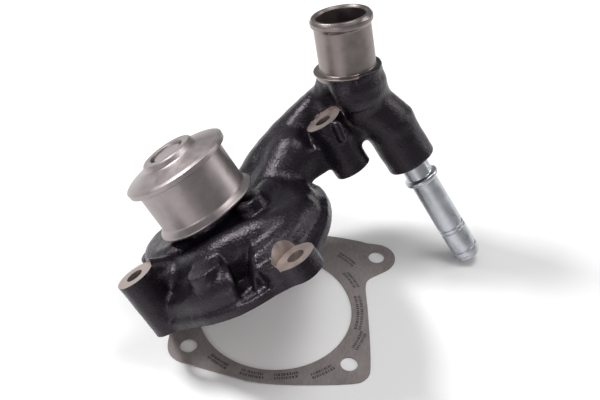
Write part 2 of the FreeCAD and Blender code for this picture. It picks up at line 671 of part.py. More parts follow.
def main():
    make_shaft()
    make_outer_ring()
    make_rolling_sets()
    make_bearing_seals()
    make_slinger()
    spring_low, spring_high = make_face_seal()
    make_seal_spring(spring_low, spring_high)
    make_impeller()
    make_pulley()
    make_housing()
    tube_axis = make_bypass_tube()
    pump_pieces = list(PIECES)
    gasket = make_gasket()
    doc.recompute()
    check()

    lay = lay_down()
    own_places = {"bypass_tube": FreeCAD.Placement(tube_axis, FreeCAD.Rotation())}
    for feature in pump_pieces:
        feature.Placement = lay.multiply(own_places.get(feature.Label, feature.Placement))
    gasket.Placement = FreeCAD.Placement(
        FreeCAD.Vector(d.gasket_x.value, d.gasket_y.value, 0), FreeCAD.Rotation())
    doc.recompute()

    # the row's origin is under the middle of the whole object, on the ground
    boxes = [feature.Shape.optimalBoundingBox() for feature in PIECES]
    middle_x = (min(box.XMin for box in boxes) + max(box.XMax for box in boxes)) / 2
    middle_y = (min(box.YMin for box in boxes) + max(box.YMax for box in boxes)) / 2
    shift = FreeCAD.Placement(FreeCAD.Vector(-middle_x, -middle_y, 0), FreeCAD.Rotation())
    for feature in PIECES:
        feature.Placement = shift.multiply(feature.Placement)
    doc.recompute()
    return shift.multiply(lay), shift


def check():
    failed = [feature.Name for feature in doc.Objects
              if "Invalid" in feature.State or "Error" in feature.State]
    if failed:
        raise RuntimeError("these did not compute: %s" % ", ".join(failed))
    for feature in PIECES:
        if feature.Shape.isNull() or not feature.Shape.isValid():
            raise RuntimeError("%s has no valid shape" % feature.Label)


def write():
    os.makedirs("parts", exist_ok=True)
    for feature in PIECES:
        feature.Shape.exportStep("parts/%s.step" % feature.Label)
        print("%-22s %8.2f cm3 %3d solid(s)" % (
            feature.Label, feature.Shape.Volume / 1000, len(feature.Shape.Solids)))


lay, shift = main()
check()
write()
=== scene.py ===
import json
import math

import bmesh
import bpy
import numpy as np
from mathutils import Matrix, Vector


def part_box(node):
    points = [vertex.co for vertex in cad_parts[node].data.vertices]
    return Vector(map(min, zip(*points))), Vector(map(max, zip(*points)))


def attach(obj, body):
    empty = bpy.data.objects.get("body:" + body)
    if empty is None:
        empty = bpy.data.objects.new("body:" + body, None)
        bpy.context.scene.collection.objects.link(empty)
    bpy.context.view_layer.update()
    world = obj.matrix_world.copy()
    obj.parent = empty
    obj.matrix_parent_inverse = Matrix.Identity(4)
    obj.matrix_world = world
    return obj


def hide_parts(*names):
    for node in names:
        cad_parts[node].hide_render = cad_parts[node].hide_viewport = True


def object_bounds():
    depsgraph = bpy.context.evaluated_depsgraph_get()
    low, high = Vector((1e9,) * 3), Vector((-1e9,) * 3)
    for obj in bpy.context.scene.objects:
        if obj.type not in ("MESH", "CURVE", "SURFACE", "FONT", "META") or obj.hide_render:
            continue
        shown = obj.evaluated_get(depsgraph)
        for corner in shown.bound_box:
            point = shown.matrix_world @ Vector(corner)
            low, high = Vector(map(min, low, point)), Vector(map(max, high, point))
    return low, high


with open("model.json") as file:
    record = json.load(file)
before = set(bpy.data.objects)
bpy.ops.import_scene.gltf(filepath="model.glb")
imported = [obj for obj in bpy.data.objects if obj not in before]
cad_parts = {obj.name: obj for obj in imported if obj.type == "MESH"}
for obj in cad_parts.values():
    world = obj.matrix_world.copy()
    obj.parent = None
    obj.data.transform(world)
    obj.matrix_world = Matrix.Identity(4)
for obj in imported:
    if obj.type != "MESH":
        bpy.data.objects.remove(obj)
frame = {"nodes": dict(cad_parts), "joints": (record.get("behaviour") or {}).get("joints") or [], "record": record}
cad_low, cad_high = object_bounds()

import openvdb
from mathutils import Matrix, Vector

# The looks of a belt-driven coolant pump that lies over its loose mounting gasket.
#
# Every pump piece is built upright in the pump's own frame and in millimetres: the origin is the
# middle of the mounting face, +Z is the shaft's direction towards the pulley and +X points along
# the outlet arm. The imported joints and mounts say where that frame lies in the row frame.

MM = 0.001
BALL_ROW_HEIGHT = 48.0
TUBE_AXIS = (105.0, 15.0)

record = frame["record"]
spin = [joint for joint in frame["joints"] if joint["name"] == "shaft_spin"][0]
tube_mount = [mount for mount in record["mounts"] if mount["name"] == "bypass_tube_end"][0]


def pump_frame():
    """The pump frame's rotation and origin in the row frame, in metres."""
    shaft = Vector(spin["axis"]).normalized()
    origin = Vector(spin["pos_m"]) - shaft * BALL_ROW_HEIGHT * MM
    reach = Vector(tube_mount["pos_m"]) - origin
    sideways = (reach - shaft * reach.dot(shaft)).normalized()
    turn = Matrix.Rotation(-math.atan2(TUBE_AXIS[1], TUBE_AXIS[0]), 3, shaft)
    first = turn @ sideways
    second = shaft.cross(first)
    rotation = Matrix((first, second, shaft)).transposed()
    return Matrix.Translation(origin) @ rotation.to_4x4()


PUMP = pump_frame()


# ---------------------------------------------------------------- camera, floor and light

CAMERA_PLACE = Vector((42.0, -442.3, 173.4)) * MM
CAMERA_RIGHT = Vector((0.8286, -0.1982, -0.5237))
CAMERA_UP = Vector((0.5599, 0.2933, 0.7749))
LENS = 54.0


def make_camera():
    data = bpy.data.cameras.new("camera")
    data.lens = LENS
    data.sensor_width = 36.0
    data.clip_start = 0.01
    camera = bpy.data.objects.new("camera", data)
    bpy.context.scene.collection.objects.link(camera)
    right = CAMERA_RIGHT.normalized()
    back = right.cross(CAMERA_UP).normalized()
    up = back.cross(right)
    local = Matrix((right, up, back)).transposed().to_4x4()
    camera.matrix_world = PUMP @ Matrix.Translation(CAMERA_PLACE) @ local
    bpy.context.scene.camera = camera


def area_light(name, place, target, size, power, tint=(1.0, 1.0, 1.0)):
    data = bpy.data.lights.new(name, "AREA")
    data.shape = "RECTANGLE"
    data.size, data.size_y = size
    data.energy = power
    data.color = tint
    light = bpy.data.objects.new(name, data)
    bpy.context.scene.collection.objects.link(light)
    light.location = place
    aim = Vector(target) - Vector(place)
    light.rotation_euler = aim.to_track_quat("-Z", "Y").to_euler()


def make_studio():
    scene = bpy.context.scene
    scene.view_settings.view_transform = "Standard"
    world = bpy.data.worlds.new("studio")
    world.use_nodes = True
    background = world.node_tree.nodes["Background"]
    background.inputs["Color"].default_value = (1.0, 1.0, 1.0, 1.0)
    background.inputs["Strength"].default_value = 0.31
    scene.world = world
    middle = (0.0, 0.0, 0.05)
    area_light("key", (-0.62, 0.25, 0.78), middle, (0.18, 0.18), 8.5)
    area_light("fill", (0.75, 0.25, 0.45), middle, (0.25, 0.5), 2.0)
    area_light("front", (-0.45, -0.85, 0.3), middle, (0.5, 0.3), 1.8, (1.0, 0.95, 1.0))
    area_light("top", (0.15, 0.1, 1.1), middle, (0.4, 0.4), 4.0)


# ---------------------------------------------------------------- materials

# Noise lies mostly between these two values.
NOISE_LOW, NOISE_HIGH = 0.3, 0.7


class Nodes:
    """A material being built: short names for adding and linking its nodes."""

    def __init__(self, name):
        self.material = bpy.data.materials.new(name)
        self.material.use_nodes = True
        self.tree = self.material.node_tree
        self.shader = self.tree.nodes["Principled BSDF"]

    def add(self, kind, **values):
        node = self.tree.nodes.new(kind)
        for key, value in values.items():
            setattr(node, key, value)
        return node

    def link(self, start, end):
        self.tree.links.new(start, end)

    def place(self, local=None):
        """Where a point lies, in the row frame or in a local frame given by its matrix."""
        spot = self.add("ShaderNodeTexCoord").outputs["Object"]
        if local is None:
            return spot
        there = local.inverted()
        mapping = self.add("ShaderNodeMapping")
        mapping.inputs["Location"].default_value = there.to_translation()
        mapping.inputs["Rotation"].default_value = there.to_euler("XYZ")
        self.link(spot, mapping.inputs["Vector"])
        return mapping.outputs["Vector"]

    def stretched(self, vector, scale):
        mapping = self.add("ShaderNodeMapping")
        mapping.inputs["Scale"].default_value = scale
        self.link(vector, mapping.inputs["Vector"])
        return mapping.outputs["Vector"]

    def noise(self, vector, scale, detail=2.0, roughness=0.5):
        node = self.add("ShaderNodeTexNoise")
        node.inputs["Scale"].default_value = scale
        node.inputs["Detail"].default_value = detail
        node.inputs["Roughness"].default_value = roughness
        self.link(vector, node.inputs["Vector"])
        return node.outputs["Fac"]

    def ramp(self, factor, stops):
        node = self.add("ShaderNodeValToRGB")
        for index, (position, colour) in enumerate(stops):
            stop = node.color_ramp.elements[index] if index < 2 else (
                node.color_ramp.elements.new(position))
            stop.position = position
            stop.color = (*colour, 1.0)
        self.link(factor, node.inputs["Fac"])
        return node.outputs["Color"]

    def span(self, factor, low, high):
        """A noise value stretched to run from low to high."""
        node = self.add("ShaderNodeMapRange")
        node.inputs["From Min"].default_value = NOISE_LOW
        node.inputs["From Max"].default_value = NOISE_HIGH
        node.inputs["To Min"].default_value = low
        node.inputs["To Max"].default_value = high
        self.link(factor, node.inputs["Value"])
        return node.outputs["Result"]

    def rounds(self, vector):
        """(radius, 0, height) of a point about the local Z axis: rings for turned metal."""
        flat = self.add("ShaderNodeVectorMath", operation="MULTIPLY")
        flat.inputs[1].default_value = (1.0, 1.0, 0.0)
        self.link(vector, flat.inputs[0])
        length = self.add("ShaderNodeVectorMath", operation="LENGTH")
        self.link(flat.outputs["Vector"], length.inputs[0])
        split = self.add("ShaderNodeSeparateXYZ")
        self.link(vector, split.inputs["Vector"])
        merged = self.add("ShaderNodeCombineXYZ")
        self.link(length.outputs["Value"], merged.inputs["X"])
        self.link(split.outputs["Z"], merged.inputs["Z"])
        return merged.outputs["Vector"]

    def bump(self, height, strength, distance, below=None):
        node = self.add("ShaderNodeBump")
        node.inputs["Strength"].default_value = strength
        node.inputs["Distance"].default_value = distance
        self.link(height, node.inputs["Height"])
        if below is not None:
            self.link(below, node.inputs["Normal"])
        return node.outputs["Normal"]

    def finish(self, colour, roughness, normal, metallic=0.0, **constants):
        self.link(colour, self.shader.inputs["Base Color"])
        self.link(roughness, self.shader.inputs["Roughness"])
        self.link(normal, self.shader.inputs["Normal"])
        self.shader.inputs["Metallic"].default_value = metallic
        for socket, value in constants.items():
            self.shader.inputs[socket.replace("_", " ")].default_value = value
        return self.material


def painted_casting():
    """Black enamel over a sand-cast skin: grainy and uneven, with a faintly purple sheen."""
    n = Nodes("painted_casting")
    place = n.place()
    broad = n.noise(place, 60.0, 3.0)
    grain = n.noise(place, 950.0, 2.0, 0.6)
    uneven = n.noise(place, 230.0, 3.0, 0.55)
    colour = n.ramp(broad, [(0.3, (0.004, 0.003, 0.005)), (0.7, (0.008, 0.0062, 0.0095))])
    normal = n.bump(uneven, 0.35, 0.0004)
    normal = n.bump(grain, 0.8, 0.0004, normal)
    return n.finish(colour, n.span(uneven, 0.24, 0.32), normal, Specular_IOR_Level=0.36,
                    Specular_Tint=(1.0, 0.88, 1.0, 1.0))


def machined_iron(name, tone, local, metallic=0.85, low=0.38, high=0.52):
    """Bare turned or spot-faced metal with tool rings about the local Z axis."""
    n = Nodes(name)
    place = n.place(local)
    tool = n.noise(n.rounds(place), 2600.0, 2.0)
    stain = n.noise(place, 130.0, 4.0, 0.6)
    dark = tuple(0.78 * c for c in tone)
    colour = n.ramp(stain, [(0.3, dark), (0.65, tone)])
    normal = n.bump(tool, 0.35, 0.00008)
    normal = n.bump(stain, 0.15, 0.0003, normal)
    return n.finish(colour, n.span(stain, low, high), normal, metallic)


def plain_metal(name, tone, low, high, grain=500.0, metallic=1.0, strength=0.2):
    """Metal with a clouded tone, a roughness from low to high and a fine grain."""
    n = Nodes(name)
    place = n.place()
    cloud = n.noise(place, 90.0, 3.0)
    fine = n.noise(place, grain, 3.0, 0.6)
    colour = n.ramp(cloud, [(0.3, tuple(0.86 * c for c in tone)), (0.7, tone)])
    return n.finish(colour, n.span(cloud, low, high), n.bump(fine, strength, 0.0001), metallic)


def plain_matter(name, tone, low, high, grain=700.0, strength=0.25):
    """The same finish on something that isn't metal."""
    return plain_metal(name, tone, low, high, grain, 0.0, strength)


def gasket_fibre():
    """Pressed fibre sheet: grey-brown, mottled and faintly fibrous."""
    n = Nodes("gasket_sheet_fibre")
    place = n.place()
    threads = n.noise(n.stretched(place, (1.0, 0.35, 1.0)), 900.0, 3.0, 0.6)
    cloud = n.noise(place, 45.0, 3.0)
    mix = n.add("ShaderNodeMix", data_type="FLOAT")
    mix.inputs[0].default_value = 0.5
    n.link(threads, mix.inputs[2])
    n.link(cloud, mix.inputs[3])
    colour = n.ramp(mix.outputs[0], [(0.35, (0.170, 0.148, 0.145)), (0.65, (0.272, 0.240, 0.236))])
    normal = n.bump(threads, 0.3, 0.00012)
    return n.finish(colour, n.span(threads, 0.62, 0.8), normal)


# ---------------------------------------------------------------- mesh helpers

def add_object(name, mesh, matrix, materials):
    """An object whose mesh is put where the matrix says, so that its box is tight."""
    mesh.transform(matrix)
    piece = bpy.data.objects.new(name, mesh)
    bpy.context.scene.collection.objects.link(piece)
    slots = [face.material_index for face in mesh.polygons]
    mesh.materials.clear()
    for material in materials:
        mesh.materials.append(material)
    mesh.polygons.foreach_set("material_index", slots)
    return piece


def smooth_by_angle(mesh, degrees=35.0):
    bm = bmesh.new()
    bm.from_mesh(mesh)
    limit = math.radians(degrees)
    for face in bm.faces:
        face.smooth = True
    for edge in bm.edges:
        edge.smooth = len(edge.link_faces) == 2 and edge.calc_face_angle(0.0) < limit
    bm.to_mesh(mesh)
    bm.free()


def closed_mesh(name, bm):
    """The mesh of a closed bmesh, with its faces turned outwards."""
    bmesh.ops.recalc_face_normals(bm, faces=bm.faces)
    mesh = bpy.data.meshes.new(name)
    bm.to_mesh(mesh)
    bm.free()
    return mesh


def ring(bm, radii, height):
    """Vertices about Z at equal angles, one for each radius."""
    count = len(radii)
    return [bm.verts.new((radius * math.cos(2 * math.pi * i / count),
                          radius * math.sin(2 * math.pi * i / count), height))
            for i, radius in enumerate(radii)]


def lathe(name, profile, segments=128, slot=0):
    """A closed mesh turned about Z from (radius, height) corners, in mm, listed anticlockwise."""
    bm = bmesh.new()
    rings = []
    for radius, height in profile:
        if radius <= 1e-6:
            rings.append([bm.verts.new((0.0, 0.0, height))] * segments)
        else:
            rings.append(ring(bm, [radius] * segments, height))
    closed = rings + [rings[0]]
    for lower, upper in zip(closed, closed[1:]):
        for i in range(segments):
            k = (i + 1) % segments
            corners = [lower[i], lower[k], upper[k], upper[i]]
            unique = list(dict.fromkeys(corners))
            if len(unique) >= 3:
                bm.faces.new(unique).material_index = slot
    return closed_mesh(name, bm)


def fillet(corner, before, after, radius, steps=6):
    """Arc points that round one corner of a profile."""
    corner, before, after = (np.array(p, float) for p in (corner, before, after))
    to_before = (before - corner) / np.linalg.norm(before - corner)
    to_after = (after - corner) / np.linalg.norm(after - corner)
    half = math.acos(float(np.clip(to_before @ to_after, -1.0, 1.0))) / 2.0
    reach = radius / math.tan(half)
    middle = corner + (to_before + to_after) / np.linalg.norm(to_before + to_after) * (
        radius / math.sin(half))
    start = corner + to_before * reach - middle
    end = corner + to_after * reach - middle
    sweep = math.atan2(start[0] * end[1] - start[1] * end[0], float(start @ end))
    points = []
    for step in range(steps + 1):
        angle = sweep * step / steps
        cosine, sine = math.cos(angle), math.sin(angle)
        points.append((middle[0] + start[0] * cosine - start[1] * sine,
                       middle[1] + start[0] * sine + start[1] * cosine))
    return points


def rounded(profile):
    """A profile of (radius, height, fillet) corners with its fillets worked out."""
    result = []
    for index, (radius, height, bend) in enumerate(profile):
        before = profile[index - 1][:2]
        after = profile[(index + 1) % len(profile)][:2]
        if bend:
            result += fillet((radius, height), before, after, bend)
        else:
            result.append((radius, height))
    return result


def upright(place, direction=(0.0, 0.0, 1.0)):
    """The matrix that stands a turned mesh on a place, along a direction."""
    turn = Vector((0.0, 0.0, 1.0)).rotation_difference(Vector(direction)).to_matrix().to_4x4()
    return Matrix.Translation(Vector(place)) @ turn


def cut_away(mesh, cutters):
    """The mesh with closed cutter meshes taken away; a cut face keeps its cutter's slot."""
    body = bpy.data.objects.new("body", mesh)
    bpy.context.scene.collection.objects.link(body)
    helpers = []
    for tool in cutters:
        helper = bpy.data.objects.new("tool", tool)
        bpy.context.scene.collection.objects.link(helper)
        modifier = body.modifiers.new("cut", "BOOLEAN")
        modifier.operation = "DIFFERENCE"
        modifier.solver = "MANIFOLD"
        modifier.object = helper
        helpers.append(helper)
    bpy.context.view_layer.update()
    result = bpy.data.meshes.new_from_object(
        body.evaluated_get(bpy.context.evaluated_depsgraph_get()))
    for helper in helpers + [body]:
        bpy.data.objects.remove(helper)
    return result


def to_metres(mesh):
    mesh.transform(Matrix.Scale(MM, 4))
    return mesh


# ---------------------------------------------------------------- the cast skin

# The skin is a signed distance, negative inside the metal, on a grid in the pump frame. It is
# only kept within a band about the surface.
STEP = 0.8
BAND = 3.0
GRID_LOW = np.array((-64.0, -84.0, -22.0))
GRID_HIGH = np.array((126.0, 68.0, 78.0))
COUNTS = np.ceil((GRID_HIGH - GRID_LOW) / STEP).astype(int)
GX, GY, GZ = (
    (GRID_LOW[axis] + STEP * np.arange(COUNTS[axis])).astype(np.float32).reshape(
        [-1 if axis == other else 1 for other in range(3)])
    for axis in range(3))
AROUND_SHAFT = np.hypot(GX, GY)


def join(first, second, soft):
    """Smooth union of two distance fields, with a fillet about as wide as soft."""
    near = np.maximum(soft - np.abs(first - second), 0.0)
    return np.minimum(first, second) - near * near / (4.0 * soft)


def carve(first, second, soft):
    """Smooth difference: first without second."""
    near = np.maximum(soft - np.abs(first + second), 0.0)
    return np.maximum(first, -second) + near * near / (4.0 * soft)


def capsule(start, end, radius, end_radius=None):
    """A round-ended bar between two points, which may taper."""
    end_radius = radius if end_radius is None else end_radius
    run = np.subtract(end, start)
    length = float(run @ run)
    x, y, z = GX - start[0], GY - start[1], GZ - start[2]
    along = np.clip((x * run[0] + y * run[1] + z * run[2]) / length, 0.0, 1.0)
    away = np.sqrt((x - along * run[0]) ** 2 + (y - along * run[1]) ** 2
                   + (z - along * run[2]) ** 2)
    return away - (radius + along * (end_radius - radius))


def chain(points, soft=3.0):
    """Capsules through (x, y, z, radius) points."""
    field = None
    for a, b in zip(points, points[1:]):
        link = capsule(a[:3], b[:3], a[3], b[3])
        field = link if field is None else join(field, link, soft)
    return field


def block(side, up, edge):
    """Where both distances are negative, with the edges between them rounded."""
    side, up = side + edge, up + edge
    return (np.minimum(np.maximum(side, up), 0.0)
            + np.hypot(np.maximum(side, 0.0), np.maximum(up, 0.0)) - edge)


def slab_round(across, low, high, edge):
    """Closes a 2-D distance, across, into a block between two heights with rounded edges."""
    return block(across, np.abs(GZ - (low + high) / 2.0) - (high - low) / 2.0, edge)


def plate(corners, low, high, edge):
    """A slab with a polygon for its outline."""
    across = polygon(corners, GX[:, :, 0], GY[:, :, 0])
    return slab_round(across[:, :, None], low, high, edge)


def post(x, y, radius, low, high, edge=0.6):
    """An upright cylinder between two heights."""
    return slab_round(np.hypot(GX - x, GY - y) - radius, low, high, edge)


def rod(start, direction, radius, length, edge=0.6):
    """A cylinder in any direction."""
    direction = np.array(direction)
    x, y, z = GX - start[0], GY - start[1], GZ - start[2]
    along = x * direction[0] + y * direction[1] + z * direction[2]
    away = np.sqrt(np.maximum(x * x + y * y + z * z - along * along, 0.0))
    return block(away - radius, np.abs(along - length / 2.0) - length / 2.0, edge)


def polygon(corners, u, v):
    """Signed distance to a closed polygon in the (u, v) plane."""
    corners = np.array(corners, float)
    nearest = np.full(np.broadcast(u, v).shape, 1e9, np.float32)
    side = np.ones(nearest.shape, np.float32)
    for (ax, ay), (bx, by) in zip(corners, np.roll(corners, -1, axis=0)):
        ex, ey = bx - ax, by - ay
        wx, wy = u - ax, v - ay
        t = np.clip((wx * ex + wy * ey) / (ex * ex + ey * ey), 0.0, 1.0)
        nearest = np.minimum(nearest, (wx - ex * t) ** 2 + (wy - ey * t) ** 2)
        above = v >= ay
        below = v < by
        left = ex * wy > ey * wx
        flip = (above & below & left) | (~above & ~below & ~left)
        side = np.where(flip, -side, side)
    return side * np.sqrt(nearest)


def softened(corners, keep=(), rounds=3):
    """The outline with its corners cut smooth, except the edges that start at a kept corner."""
    points = [(np.array(corner, float), corner in keep) for corner in corners]
    for _ in range(rounds):
        following = []
        for (a, a_kept), (b, b_kept) in zip(points, points[1:] + points[:1]):
            if a_kept and b_kept:
                following += [(a, True), (b, True)]
                continue
            start = (a, True) if a_kept else (a * 0.75 + b * 0.25, False)
            end = (b, True) if b_kept else (a * 0.25 + b * 0.75, False)
            following += [start, end]
        points = []
        for point, kept in following:
            if not points or np.linalg.norm(points[-1][0] - point) > 1e-6:
                points.append((point, kept))
        if np.linalg.norm(points[0][0] - points[-1][0]) < 1e-6:
            points.pop()
    return [tuple(point) for point, _ in points]


def lumps(size, amount, seed):
    """Smooth seeded unevenness over the grid, as a cast surface has."""
    rng = np.random.default_rng(seed)
    weights = []
    cells = []
    for axis in range(3):
        place = np.arange(COUNTS[axis]) * STEP / size
        cell = np.floor(place).astype(int)
        part = place - cell
        part = part * part * (3.0 - 2.0 * part)
        weight = np.zeros((COUNTS[axis], cell[-1] + 2), np.float32)
        weight[np.arange(COUNTS[axis]), cell] = 1.0 - part
        weight[np.arange(COUNTS[axis]), cell + 1] += part
        weights.append(weight)
        cells.append(cell[-1] + 2)
    coarse = rng.normal(0.0, amount, cells).astype(np.float32)
    return np.einsum("ia,jb,kc,abc->ijk", *weights, coarse, optimize=True)


# The skin starts below the mounting face, which a cut then lays bare.
FACE = -1.6
# Outlines and courses in the pump frame, in mm. A fourth figure is a radius.
DOME = [(0, FACE), (45.5, FACE), (45.5, 9), (43.5, 17), (39, 21.5), (31, 23.5), (22, 25.5),
        (0, 25.5)]
REST_CORNERS = [(-22.0, 57.2), (-47.5, 28.9)]
FLANGE_CORNERS = [
    (-54.0, -31.0), (-42.0, -39.0), (-24.0, -58.0), (-6.0, -68.0), (16.0, -69.5), (30.0, -72.0),
    (34.5, -60.0), (47.0, -40.0), (54.0, -17.0), (56.0, 8.0), (48.0, 32.0), (28.0, 48.0),
    (4.0, 58.0), (-14.0, 60.4),
] + REST_CORNERS + [(-54.5, 8.0)]
SIDE_WALL = [(-50.0, -26.0), (-43.0, -35.0), (-32.0, -46.5), (-21.0, -56.0), (-6.0, -63.5),
             (8.0, -63.5), (8.0, -30.0), (-20.0, -8.0), (-46.0, -8.0)]
RIDGE_LINE = [(-24.0, -24.0, 15.0, 8.5), (-9.0, -32.5, 17.8, 8.5), (4.0, -35.0, 18.0, 8.5),
              (18.0, -37.0, 16.0, 8.5), (29.0, -34.0, 13.0, 8.5), (38.0, -26.0, 9.0, 8.0)]
ARM_COURSE = [(30, 30, 17, 13.6), (47, 31, 22, 14.4), (67, 33.5, 25.5, 14.8), (84, 30, 29, 14.5),
              (97, 17.5, 32, 16.0)]
# The core pocket in the side wall: its outline seen from the side, its back wall, and the ledge.
POCKET_SIDE = [(-1.4, 24.0), (10.5, 24.0), (10.0, 19.0), (0.6, 5.4), (-5.6, 5.4), (-5.0, 10.0)]
POCKET_BACK = -46.5
POCKET_LEDGE = [(-9.0, -46.0), (-5.3, -61.0), (2.8, -57.6), (1.5, -46.0)]
PARTING_LINE = [(99.7, -3.6, 43.0, 0.7), (98.9, -2.3, 36.3, 0.8), (97.9, -1.2, 29.5, 0.9)]
# Bolt bosses: the middle of each bare face.
BOSS_A = (-45.4, -27.5, 32.0)
BOSS_B = (25.9, -65.2, 9.2)
BOSS_C = (-14.0, 50.0, 12.0)
BOSS_D = (75.5, 11.3, 31.5)
NECK_FOOT = Vector((101.7, 13.0, 47.6))
NECK_AXIS = Vector((0.35, -0.17, 0.921)).normalized()
NECK_LENGTH = 29.0
# How far along NECK_RIGHT from the neck's middle the painted cheek starts.
CHEEK_START = 5.0
NECK_RIGHT = (CAMERA_RIGHT - NECK_AXIS * CAMERA_RIGHT.dot(NECK_AXIS)).normalized()
NECK_PLACE = PUMP @ upright(NECK_FOOT * MM, NECK_AXIS)
TUBE_PLACE = PUMP @ Matrix.Translation(Vector((*TUBE_AXIS, 0.0)) * MM)
ELBOW_LOW = -17.0
ELBOW_BEND = 10.0

BOLT_HOLE = 4.4
NECK_BORE = 12.9
TUBE_OUTSIDE = 7.6
TUBE_BORE = 6.3
COOLANT_WAY = 8.5
COOLANT_COURSE = [(32.0, 26.0, 16.5), (47.0, 32.0, 23.0), (67.0, 33.5, 26.0),
                  (84.0, 30.0, 29.0), (97.0, 18.0, 32.0)]
WEEP_HOLE = 2.8
WEEP_START = Vector((9.5, -9.5, 19.5))
WEEP_END = Vector((22.0, -23.4, 31.0))


def curved(points, steps=3):
    """A smooth (Catmull-Rom) course through a few points."""
    points = [np.array(point, float) for point in points]
    padded = [2 * points[0] - points[1]] + points + [2 * points[-1] - points[-2]]
    course = []
    for a, b, c, e in zip(padded, padded[1:], padded[2:], padded[3:]):
        for step in range(steps):
            t = step / steps
            course.append(0.5 * (2 * b + (c - a) * t + (2 * a - 5 * b + 4 * c - e) * t * t
                                 + (3 * b - a - 3 * c + e) * t ** 3))
    return course + [points[-1]]


def pump_body():
    """Flange, chamber, bearing tower, side wall with its core pocket, and the three lugs."""
    field = plate(softened(FLANGE_CORNERS, REST_CORNERS), FACE, 4.4, 1.3)
    field = join(field, polygon(DOME, AROUND_SHAFT, GZ), 3.0)
    field = join(field, post(4.5, -20.0, 40.5, FACE, 18.0, 6.0), 4.0)
    field = join(field, post(7.0, -7.0, 44.0, FACE, 15.0, 8.0), 5.0)
    field = join(field, post(0.0, 0.0, 19.4, 0.0, 55.0, 0.4), 5.0)
    field = join(field, plate(softened(SIDE_WALL), FACE, 15.0, 6.0), 4.0)
    field = join(field, chain(curved(RIDGE_LINE), 2.0), 5.0)
    # The weep hole's boss.
    field = join(field, post(20.8, -21.5, 7.6, 15.0, 30.6, 0.8), 2.5)
    field = join(field, capsule((23.0, -17.0, 23.6), (32.0, -5.0, 22.0), 6.0), 4.0)
    pocket = np.maximum(polygon(POCKET_SIDE, GX, GZ), GY - POCKET_BACK)
    field = carve(field, pocket, 2.5)
    field = join(field, plate(POCKET_LEDGE, FACE, 6.2, 0.4), 0.6)

    # The round bulge in the side wall, a low lug and the left shoulder.
    field = join(field, post(-14.0, -45.0, 9.5, FACE, 22.5, 1.3), 2.0)
    field = join(field, post(-40.5, 20.0, 7.0, FACE, 22.0, 2.0), 3.5)
    field = join(field, post(-20.0, 6.0, 22.6, FACE, 29.0, 6.0), 3.0)
    # The lugs' bosses, and the ridge from the long one to the tower.
    field = join(field, post(18.0, -60.0, 10.5, FACE, 12.8, 2.0), 3.0)
    field = join(field, post(BOSS_B[0], BOSS_B[1], 9.6, FACE, 11.0, 0.5), 2.5)
    field = join(field, post(BOSS_C[0], BOSS_C[1], 10.5, FACE, 13.5, 0.8), 3.0)
    field = join(field, chain([(-45, -27, 24.5, 8.0), (-30, -17, 17.0, 9.5)]), 5.0)
    field = join(field, post(BOSS_A[0], BOSS_A[1], 9.6, FACE, 33.5, 0.5), 2.5)
    return join(field, capsule((-37.0, -24.5, 29.3), (-31.0, -20.0, 24.0), 5.0), 2.0)


def with_arm(field):
    """The outlet arm, its webs, the neck's root, the elbow and the arm's boss."""
    field = join(field, chain(curved(ARM_COURSE, 2), 3.0), 7.0)
    field = join(field, capsule((34, 12, 14), (53, 18.5, 22.5), 13.0, 13.0), 6.0)
    web = slab_round(np.maximum(np.abs(GX - 56.0) - 21.0, np.abs(GY - 11.5) - 4.5), 8.0, 22.0, 1.5)
    field = join(field, web, 4.0)
    field = join(field, capsule((84.0, 12.0, 15.0), (92.0, 14.0, 14.5), 6.0), 4.0)

    # The neck's root: its shoulder, its collar, and a cheek that rises on one side.
    foot, right = NECK_FOOT, NECK_RIGHT
    field = join(field, rod(foot - NECK_AXIS * 16.0, NECK_AXIS, 18.0, 11.0, 3.0), 8.0)
    field = join(field, rod(foot - NECK_AXIS * 18.0, NECK_AXIS, 17.4, 18.0, 0.6), 3.0)
    beyond = ((foot.x - GX) * right.x + (foot.y - GY) * right.y + (foot.z - GZ) * right.z
              + CHEEK_START)
    cheek = np.maximum(rod(foot - NECK_AXIS * 16.0, NECK_AXIS, 17.6, 16.6, 0.8), beyond)
    field = join(field, cheek, 1.2)
    # The elbow that holds the tube.
    field = join(field, rod((*TUBE_AXIS, ELBOW_LOW), (0, 0, 1), 13.8, 27.0, 1.0), 2.0)
    shoulder = capsule((*TUBE_AXIS, ELBOW_BEND), (97, 17, 30), 13.6, 15.5)
    field = join(field, shoulder, 3.0)
    # The arm's boss, in a hollow of its own, with a nub on its side.
    x, y, top = BOSS_D
    field = carve(field, post(x, y, 10.5, top - 0.5, 60.0, 0.5), 8.0)
    field = join(field, post(x, y, 10.0, FACE, top + 0.7, 0.3), 3.0)
    field = join(field, capsule((79.5, 1.0, 28.5), (78.3, 0.0, 21.0), 2.8), 1.0)
    return join(field, chain(PARTING_LINE, 0.5), 0.8)


def cast_mesh():
    field = with_arm(pump_body()) + lumps(9.0, 0.16, 3) + lumps(3.2, 0.06, 5)
    grid = openvdb.FloatGrid(BAND)
    grid.copyFromArray(np.clip(field, -BAND, BAND).astype(np.float32))
    points, quads = grid.convertToQuads(0.0)
    points = points * STEP + GRID_LOW
    mesh = bpy.data.meshes.new("casting")
    mesh.from_pydata(points.tolist(), [], quads[:, ::-1].tolist())
    mesh.update()
    return mesh


# The casting's material slots: 0 is its paint, and a cut leaves its own slot on the faces it makes.
BARE, ROUGH = 1, 2


def round_tool(place, radius, length, slot, direction=(0, 0, 1), segments=64):
    tool = lathe("tool", [(0, 0), (radius, 0), (radius, length), (0, length)], segments, slot)
    tool.transform(upright(place, direction))
    return tool


